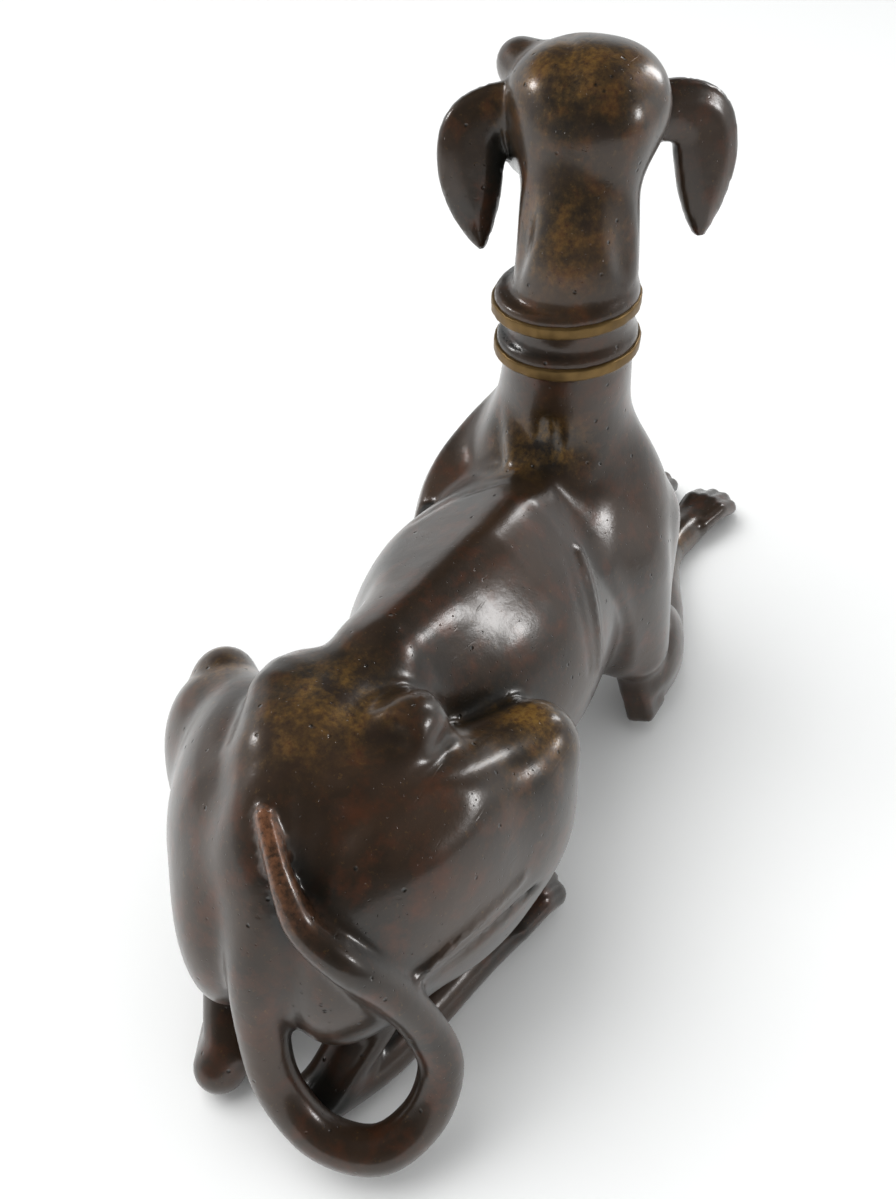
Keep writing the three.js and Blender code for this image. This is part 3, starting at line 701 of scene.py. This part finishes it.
def cut_soles(mesh):
    """Takes off what lies below the table and closes the flat soles."""
    work = bmesh.new()
    work.from_mesh(mesh)
    everything = work.verts[:] + work.edges[:] + work.faces[:]
    bmesh.ops.bisect_plane(work, geom=everything, dist=1e-6, plane_co=(0, 0, 0), plane_no=(0, 0, 1),
                           clear_inner=True)
    rim = [edge for edge in work.edges if edge.is_boundary]
    soles = bmesh.ops.holes_fill(work, edges=rim, sides=0)["faces"]
    bmesh.ops.triangulate(work, faces=soles)
    bmesh.ops.recalc_face_normals(work, faces=work.faces)
    work.to_mesh(mesh)
    work.free()
    return len(soles)


skin = bpy.data.meshes.new("greyhound_casting")
skin.from_pydata(to_frame(net_points).tolist(), [], net_quads.tolist())
sole_count = cut_soles(skin)
skin.shade_smooth()
skin.set_sharp_from_angle(angle=math.radians(SHARP_EDGE))
casting = bpy.data.objects.new("greyhound_casting", skin)
bpy.context.scene.collection.objects.link(casting)
print("casting:", len(skin.vertices), "points,", sole_count, "soles")

# %% [markdown]
# ## Where hands have worn it bright, and where the hollows are painted dark
#
# Old bronze is worn bright where it is touched. The hollows are painted dark: partly the patina
# that polish never reaches, partly painted shade, a kind of ambient occlusion read from the field.
# The field already knows which places stand out: a short step inwards from a ridge is nearer to the
# skin than the step is long, and a short step outwards from a hollow is too. Those two answers, and
# the places that hands rub most, are stored on the points for the material to read.

# %% Wear, and painted shade in the hollows, on the points
RIDGE_DEPTH = 2.5  # mm
HOLLOW_DEPTH = 4.0  # mm
RUBBED = [  # place in the drawing, reach in mm, strength
    ((103, 6, 124), 12, 0.7),
    ((90, 2, 102), 9, 0.5),
    ((27, 3.5, 62), 7, 1.0),
    ((20, 5, 60), 6, 0.7),
    ((88.6, 0.6, 67), 5, 1.0),
    ((88, 5, 64), 6, 0.6),
    ((45, -17.6, 50), 6, 1.0),
    ((35, -13, 48), 7, 0.5),
    ((36, 30, 48), 6, 0.5),
    ((152, -4, 8), 9, 0.5),
]
BARE_POINTS = 5  # of the tail's line, up to its tip, along which it is rubbed to copper
BARE_REACH = 15  # mm


def paint(mesh, name, values):
    layer = mesh.attributes.new(name, "FLOAT", "POINT")
    layer.data.foreach_set("value", np.clip(values, 0, 1).astype(np.float32))


def wear_and_painted_shade(points):
    outward = slope(dog, points)
    outward /= np.linalg.norm(outward, axis=1, keepdims=True) + 1e-9
    ridge = 1 + dog.distance(points - outward * RIDGE_DEPTH) / RIDGE_DEPTH
    # How shut in a point is, a kind of ambient occlusion: it paints the hollows dark, as painted shade and as
    # patina
    hollow = 1 - dog.distance(points + outward * HOLLOW_DEPTH) / HOLLOW_DEPTH
    rubbed = np.zeros(len(points))
    for place, reach, strength in RUBBED:
        near = np.exp(-((points - place) ** 2).sum(1) / reach ** 2)
        rubbed = np.maximum(rubbed, strength * near)
    tail_end = curve(TAIL_LINE[-BARE_POINTS:], 40)
    on_tail = np.clip(1.4 - np.abs(tail_end.distance(points)) / 0.5, 0, 1)
    from_tip = np.linalg.norm(points - TAIL_LINE[-1][:3], axis=1)
    bare_tip = on_tail * np.clip(1.2 - from_tip / BARE_REACH, 0, 1)
    return ridge, hollow, rubbed, bare_tip


coords = np.empty(len(skin.vertices) * 3)
skin.vertices.foreach_get("co", coords)
drawn = coords.reshape(-1, 3) / MM + ORIGIN
ridge, hollow, rubbed, bare_tip = wear_and_painted_shade(drawn)
for name, values in (("ridge", ridge), ("hollow", hollow), ("rubbed", rubbed), ("bare_tip", bare_tip)):
    paint(skin, name, values)
    print(name, "mean", round(float(np.clip(values, 0, 1).mean()), 3))

# %% [markdown]
# ## The collar's fillets
#
# The collar is two raised fillets round the neck, cast with it and later rubbed bright. They follow
# the neck, so a curve is laid on the skin and Geometry Nodes sweep a worn flat section along it,
# a little uneven as a hand-filed wire of wax is.

# %% Collar paths
FILLET_WIDTH = 2.0
FILLET_DEPTH = 2.2
FILLET_BED = 0.5
FILLET_UNEVEN = 0.35
FILLET_POINTS = 96


def fillet_path(side):
    """Points on a circle round the neck, a little under the collar's outer face."""
    across = np.cross(COLLAR_AXIS, (1, 0, 0))
    across /= np.linalg.norm(across)
    along = np.cross(across, COLLAR_AXIS)
    turns = np.arange(FILLET_POINTS) / FILLET_POINTS * 2 * math.pi
    rays = np.cos(turns)[:, None] * along + np.sin(turns)[:, None] * across
    return collar_place(side) + rays * (COLLAR_RADIUS - FILLET_BED)


fillet_paths = [fillet_path(side) for side in (1, -1)]
print("fillets across:", [round(float(np.ptp(path[:, 0])), 1) for path in fillet_paths])


# %% Fillets by Geometry Nodes
def add(tree, kind, inputs=(), **settings):
    """Adds a node. An input is given a value, or another node's socket to be linked from."""
    node = tree.nodes.new(kind)
    for name, value in settings.items():
        setattr(node, name, value)
    for key, value in dict(inputs).items():
        if isinstance(value, bpy.types.NodeSocket):
            tree.links.new(value, node.inputs[key])
        else:
            node.inputs[key].default_value = value
    return node


def fillet_tree(finish):
    """A closed path becomes a swept fillet with a flat, slightly uneven face."""
    tree = bpy.data.node_groups.new("fillet", "GeometryNodeTree")
    tree.interface.new_socket("Path", in_out="INPUT", socket_type="NodeSocketGeometry")
    for name in ("Width", "Proud", "Uneven"):
        tree.interface.new_socket(name, in_out="INPUT", socket_type="NodeSocketFloat")
    tree.interface.new_socket("Fillet", in_out="OUTPUT", socket_type="NodeSocketGeometry")
    given = add(tree, "NodeGroupInput").outputs
    path = add(tree, "GeometryNodeMeshToCurve", {"Mesh": given["Path"]})
    even = add(tree, "GeometryNodeResampleCurve", {"Curve": path.outputs["Curve"], "Count": 240})
    upright = add(tree, "GeometryNodeSetCurveNormal", {"Curve": even.outputs["Curve"]}, mode="Z_UP")
    section = add(tree, "GeometryNodeCurvePrimitiveQuadrilateral", {"Width": given["Proud"],
                                                                    "Height": given["Width"]})
    rounded = add(tree, "GeometryNodeFilletCurve", {"Curve": section.outputs["Curve"], "Radius": 0.4 * MM,
                                                    "Count": 3}, mode="POLY")
    swept = add(tree, "GeometryNodeCurveToMesh", {"Curve": upright.outputs["Curve"],
                                                  "Profile Curve": rounded.outputs["Curve"]})
    grain = add(tree, "ShaderNodeTexNoise", {"Scale": 420.0, "Detail": 2.0}, noise_dimensions="3D")
    centred = add(tree, "ShaderNodeVectorMath", {0: grain.outputs["Color"], 1: (0.5, 0.5, 0.5)},
                  operation="SUBTRACT")
    moved = add(tree, "ShaderNodeVectorMath", {0: centred.outputs["Vector"], "Scale": given["Uneven"]},
                operation="SCALE")
    placed = add(tree, "GeometryNodeSetPosition", {"Geometry": swept.outputs["Mesh"],
                                                   "Offset": moved.outputs["Vector"]})
    smooth = add(tree, "GeometryNodeSetShadeSmooth", {"Geometry": placed.outputs["Geometry"]})
    real = add(tree, "GeometryNodeRealizeInstances", {"Geometry": smooth.outputs["Geometry"]})
    dressed = add(tree, "GeometryNodeSetMaterial", {"Geometry": real.outputs["Geometry"], "Material": finish})
    add(tree, "NodeGroupOutput", {"Fillet": dressed.outputs["Geometry"]})
    return tree


def make_fillets(finish):
    """Both fillets as one plain mesh."""
    rings = []
    for k, path in enumerate(fillet_paths):
        count = len(path)
        rings += [(k * count + i, k * count + (i + 1) % count) for i in range(count)]
    source = bpy.data.meshes.new("collar_paths")
    source.from_pydata(to_frame(np.vstack(fillet_paths)).tolist(), rings, [])
    carrier = bpy.data.objects.new("collar_paths", source)
    bpy.context.scene.collection.objects.link(carrier)
    tree = fillet_tree(finish)
    modifier = carrier.modifiers.new("fillet", "NODES")
    modifier.node_group = tree
    sizes = {"Width": FILLET_WIDTH * MM, "Proud": FILLET_DEPTH * MM, "Uneven": FILLET_UNEVEN * MM}
    for item in tree.interface.items_tree:
        if item.in_out == "INPUT" and item.name in sizes:
            modifier[item.identifier] = sizes[item.name]
    result = bpy.data.meshes.new_from_object(carrier.evaluated_get(bpy.context.evaluated_depsgraph_get()))
    bpy.data.objects.remove(carrier)
    result.name = "collar_fillets"
    fillets = bpy.data.objects.new("collar_fillets", result)
    bpy.context.scene.collection.objects.link(fillets)
    return fillets


# %% [markdown]
# ## Finishes
#
# The skin is patinated bronze: chemicals turned the metal brown, wax sealed it, and long
# handling polished it. So it isn't a clean metal. Most light comes off the wax, which is why the
# highlights are white and not brown.

# %% Colours and bronze
def linear(code):
    """An sRGB hex colour as linear red, green, blue and alpha."""
    parts = [int(code[i:i + 2], 16) / 255 for i in (1, 3, 5)]
    return (*[p / 12.92 if p <= 0.04045 else ((p + 0.055) / 1.055) ** 2.4 for p in parts], 1.0)


def per_mm(size):
    """The scale of a pattern in metres whose features are this many mm across."""
    return 1 / (size * MM)


CHOCOLATE = linear("#3c2b1e")
UMBER = linear("#272019")
RED_BROWN = linear("#532d19")
# Near-black green for the hollows and pits: dark patina, and painted shade
PATINA_AND_SHADE_DARK = linear("#121411")
GOLDEN = linear("#80602c")
COPPER = linear("#7a5036")
TARNISHED = linear("#43331c")
RUBBED_GOLD = linear("#8c7044")


def new_material(name):
    material = bpy.data.materials.new(name)
    material.use_nodes = True
    material.node_tree.nodes.clear()
    return material, material.node_tree


def mixed(tree, factor, low, high):
    """One colour turning into another by a factor."""
    node = add(tree, "ShaderNodeMix", {"Factor": factor, "A": low, "B": high}, data_type="RGBA")
    return node.outputs["Result"]


def noise(tree, place, size, detail=4.0, roughness=0.6):
    """Cloudy noise whose clouds are about this many mm across."""
    node = add(tree, "ShaderNodeTexNoise", {"Vector": place, "Scale": per_mm(size), "Detail": detail,
                                            "Roughness": roughness})
    return node.outputs["Fac"]


def span(tree, value, low, high, bottom=0.0, top=1.0):
    """A value carried from one span of numbers to another, and kept inside it."""
    node = add(tree, "ShaderNodeMapRange", {"Value": value, "From Min": low, "From Max": high,
                                            "To Min": bottom, "To Max": top})
    return node.outputs["Result"]


def product(tree, one, other):
    return add(tree, "ShaderNodeMath", {0: one, 1: other}, operation="MULTIPLY").outputs["Value"]


def pits(tree, place, size, share):
    """Small round casting pits, this many mm apart, present in a share of the cells."""
    cells = add(tree, "ShaderNodeTexVoronoi", {"Vector": place, "Scale": per_mm(size)})
    chosen = add(tree, "ShaderNodeSeparateColor", {"Color": cells.outputs["Color"]}).outputs["Red"]
    present = add(tree, "ShaderNodeMath", {0: chosen, 1: share}, operation="LESS_THAN").outputs["Value"]
    depth = span(tree, cells.outputs["Distance"], 0.02, 0.17, 1.0, 0.0)
    return product(tree, depth, present)


def scratches(tree, place, turn, size):
    """Fine lines in one direction: noise drawn out thirtyfold along one axis."""
    drawn_out = add(tree, "ShaderNodeMapping", {"Vector": place, "Rotation": turn,
                                                "Scale": (1.0, 30.0, 30.0)})
    lines = noise(tree, drawn_out.outputs["Vector"], size, 1.0, 0.4)
    return span(tree, lines, 0.73, 0.8)


HAND_WAVE = 0.14  # mm of the slow waves that a hand leaves in wax
CAST_GRAIN = 0.02
PIT_DEPTH = 0.16
SCRATCH_DEPTH = 0.012


def relief(tree, height, depth, below=(), **settings):
    """Bumps this many mm deep, laid over the normals of the relief below."""
    inputs = {"Height": height, "Strength": 1.0, "Distance": depth * MM, **dict(below)}
    return add(tree, "ShaderNodeBump", inputs, **settings).outputs["Normal"]


def waxed_bronze():
    """Dark brown patina under wax: deep colour, white highlights, bright metal where it is rubbed."""
    material, tree = new_material("waxed_brown_patina")
    place = add(tree, "ShaderNodeTexCoord").outputs["Object"]
    read = {name: add(tree, "ShaderNodeAttribute", attribute_name=name).outputs["Fac"]
            for name in ("ridge", "hollow", "rubbed", "bare_tip")}
    clouds = noise(tree, place, 16, 5.0)
    blotches = noise(tree, place, 5, 5.0, 0.65)
    specks = noise(tree, place, 0.9, 4.0, 0.7)
    casting_pits = pits(tree, place, 2.2, 0.2)
    pinholes = pits(tree, place, 0.9, 0.3)
    marks = scratches(tree, place, (0.3, 0.5, 0.9), 24)
    cross_marks = scratches(tree, place, (1.1, -0.7, -0.5), 30)

    colour = mixed(tree, span(tree, clouds, 0.35, 0.65), UMBER, CHOCOLATE)
    colour = mixed(tree, span(tree, blotches, 0.5, 0.72, 0.0, 0.75), colour, RED_BROWN)
    colour = mixed(tree, span(tree, specks, 0.62, 0.78, 0.0, 0.35), colour, GOLDEN)
    # The hollows are painted near-black: painted shade read from the field, and the dark patina that polish
    # doesn't reach
    colour = mixed(tree, span(tree, read["hollow"], 0.15, 0.75, 0.0, 0.85), colour, PATINA_AND_SHADE_DARK)
    worn = product(tree, read["rubbed"], span(tree, blotches, 0.38, 0.6))
    colour = mixed(tree, product(tree, worn, span(tree, specks, 0.3, 0.6)), colour, GOLDEN)
    colour = mixed(tree, product(tree, read["bare_tip"], span(tree, specks, 0.35, 0.6)), colour, COPPER)
    # The casting pits are painted with the same dark: patina in them, and painted shade
    colour = mixed(tree, casting_pits, colour, PATINA_AND_SHADE_DARK)

    rough = span(tree, clouds, 0.3, 0.7, 0.36, 0.46)
    dents = add(tree, "ShaderNodeMath", {0: casting_pits, 1: product(tree, pinholes, 0.5)}, operation="ADD")
    lines = add(tree, "ShaderNodeMath", {0: marks, 1: cross_marks}, operation="ADD")
    wavy = relief(tree, noise(tree, place, 7, 2.0, 0.4), HAND_WAVE)
    grain = relief(tree, specks, CAST_GRAIN, {"Normal": wavy})
    pitted = relief(tree, dents.outputs["Value"], PIT_DEPTH, {"Normal": grain}, invert=True)
    scratched = relief(tree, lines.outputs["Value"], SCRATCH_DEPTH, {"Normal": pitted}, invert=True)
    shader = add(tree, "ShaderNodeBsdfPrincipled", {
        "Base Color": colour, "Metallic": 0.35, "Roughness": rough, "Normal": scratched,
        "Specular IOR Level": 0.25, "Coat Weight": 0.8, "Coat Roughness": 0.2, "Coat Normal": scratched,
    })
    add(tree, "ShaderNodeOutputMaterial", {"Surface": shader.outputs["BSDF"]})
    return material


def rubbed_brass():
    """The same metal where it is rubbed bare: golden brown, in lighter and darker blotches."""
    material, tree = new_material("rubbed_golden_bronze")
    place = add(tree, "ShaderNodeTexCoord").outputs["Object"]
    blotches = add(tree, "ShaderNodeTexNoise", {"Vector": place, "Scale": per_mm(3), "Detail": 4.0})
    tone = mixed(tree, blotches.outputs["Fac"], TARNISHED, RUBBED_GOLD)
    shader = add(tree, "ShaderNodeBsdfPrincipled", {"Base Color": tone, "Metallic": 0.8, "Roughness": 0.42})
    add(tree, "ShaderNodeOutputMaterial", {"Surface": shader.outputs["BSDF"]})
    return material


bronze = waxed_bronze()
brass = rubbed_brass()
skin.materials.append(bronze)
fillets = make_fillets(brass)
print("fillets:", len(fillets.data.polygons), "faces")

# %% [markdown]
# ## The studio
#
# A pale seamless table, pale walls, three windows and a wide soft light from above, as small bronzes
# are photographed. An image of a room could light it, but lamps and walls that are each stated can be
# moved one by one until every highlight lies where it does on the real wax.

# %% Floor, lights and camera
scene = bpy.context.scene
FLOOR_SIZE = 4.0
floor_mesh = bpy.data.meshes.new("floor")
half = FLOOR_SIZE / 2
floor_corners = [(-half, -half, 0), (half, -half, 0), (half, half, 0), (-half, half, 0)]
floor_mesh.from_pydata(floor_corners, [], [(0, 1, 2, 3)])
floor = bpy.data.objects.new("floor", floor_mesh)
scene.collection.objects.link(floor)


def pale_paper():
    material, tree = new_material("pale_paper")
    shader = add(tree, "ShaderNodeBsdfPrincipled", {"Base Color": linear("#f3f3f2"), "Roughness": 0.9,
                                                    "Specular IOR Level": 0.0})
    add(tree, "ShaderNodeOutputMaterial", {"Surface": shader.outputs["BSDF"]})
    return material


floor_mesh.materials.append(pale_paper())

WALL_TOP = 0.34  # sine of the height above the table to which the pale walls reach
WALL_LIGHT = 0.75
CEILING_LIGHT = 0.035
ROOM_LIGHT = 0.85  # what the room gives to the paper, from everywhere
FAR_WALL = (0.88, 0.47)  # direction of the wall behind the dog; the wall behind the camera is dark


def studio_surround():
    """Wax mirrors pale walls on the far side and a dark ceiling; matt things see an even room."""
    world = bpy.data.worlds.new("surround")
    world.use_nodes = True
    tree = world.node_tree
    tree.nodes.clear()
    direction = add(tree, "ShaderNodeTexCoord").outputs["Generated"]
    height = add(tree, "ShaderNodeSeparateXYZ", {"Vector": direction}).outputs["Z"]
    forward = add(tree, "ShaderNodeVectorMath", {0: direction, 1: (*FAR_WALL, 0.0)}, operation="DOT_PRODUCT")
    wall = span(tree, height, WALL_TOP, WALL_TOP + 0.14, 1.0, 0.0)
    ahead = span(tree, forward.outputs["Value"], -0.7, 0.3, 0.12, 1.0)
    mirrored = span(tree, product(tree, wall, ahead), 0.0, 1.0, CEILING_LIGHT, WALL_LIGHT)
    in_metal = add(tree, "ShaderNodeLightPath").outputs["Is Glossy Ray"]
    light = span(tree, in_metal, 0.0, 1.0, ROOM_LIGHT, mirrored)
    paper = add(tree, "ShaderNodeBackground", {"Color": linear("#f4f6f7"), "Strength": light})
    add(tree, "ShaderNodeOutputWorld", {"Surface": paper.outputs["Background"]})
    return world


scene.world = studio_surround()


def soft_box(name, azimuth, elevation, away, wide, tall, watts, **seen):
    """A lamp that looks at the dog from a direction, given in degrees."""
    lamp = bpy.data.lights.new(name, "AREA")
    lamp.shape = "RECTANGLE"
    lamp.size = wide
    lamp.size_y = tall
    lamp.energy = watts
    box = bpy.data.objects.new(name, lamp)
    scene.collection.objects.link(box)
    turn, rise = math.radians(azimuth), math.radians(elevation)
    box.location = (away * math.cos(rise) * math.cos(turn), away * math.cos(rise) * math.sin(turn),
                    away * math.sin(rise) + 0.06)
    box.rotation_euler = (math.pi / 2 - rise, 0, turn + math.pi / 2)
    for kind, value in seen.items():
        setattr(box, kind, value)
    return box


# The windows are mirrored in the wax, and the paper gets its light from the fill and the room
soft_box("right_window", -68, 24, 0.9, 0.13, 0.13, 1.7, visible_diffuse=False)
soft_box("front_window", -20, 27, 0.9, 0.1, 0.3, 1.5, visible_diffuse=False)
soft_box("left_window", 98, 30, 0.9, 0.14, 0.14, 1.6, visible_diffuse=False)
soft_box("fill", 120, 64, 1.3, 1.1, 1.1, 12, visible_glossy=False)

CAMERA_PLACE = (-0.1602, -0.0700, 0.170)
CAMERA_TILT = 51.5  # degrees up from straight down
CAMERA_TURN = -62.0
LENS = 36.03
camera_data = bpy.data.cameras.new("camera")
camera_data.lens = LENS
camera_data.sensor_width = 36.0
camera_data.clip_start = 0.01
camera = bpy.data.objects.new("camera", camera_data)
scene.collection.objects.link(camera)
camera.location = CAMERA_PLACE
camera.rotation_euler = (math.radians(CAMERA_TILT), 0, math.radians(CAMERA_TURN))
scene.camera = camera
scene.view_settings.view_transform = "Standard"

# %% [markdown]
# ## Handing over
#
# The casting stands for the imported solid, and the fillets are part of the same casting, so both ride
# on its one body. They could be joined to one object, but two keep the rubbed metal's finish apart.

# %% Hand over
for piece in (casting, fillets):
    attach(piece, "root")
    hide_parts("greyhound")
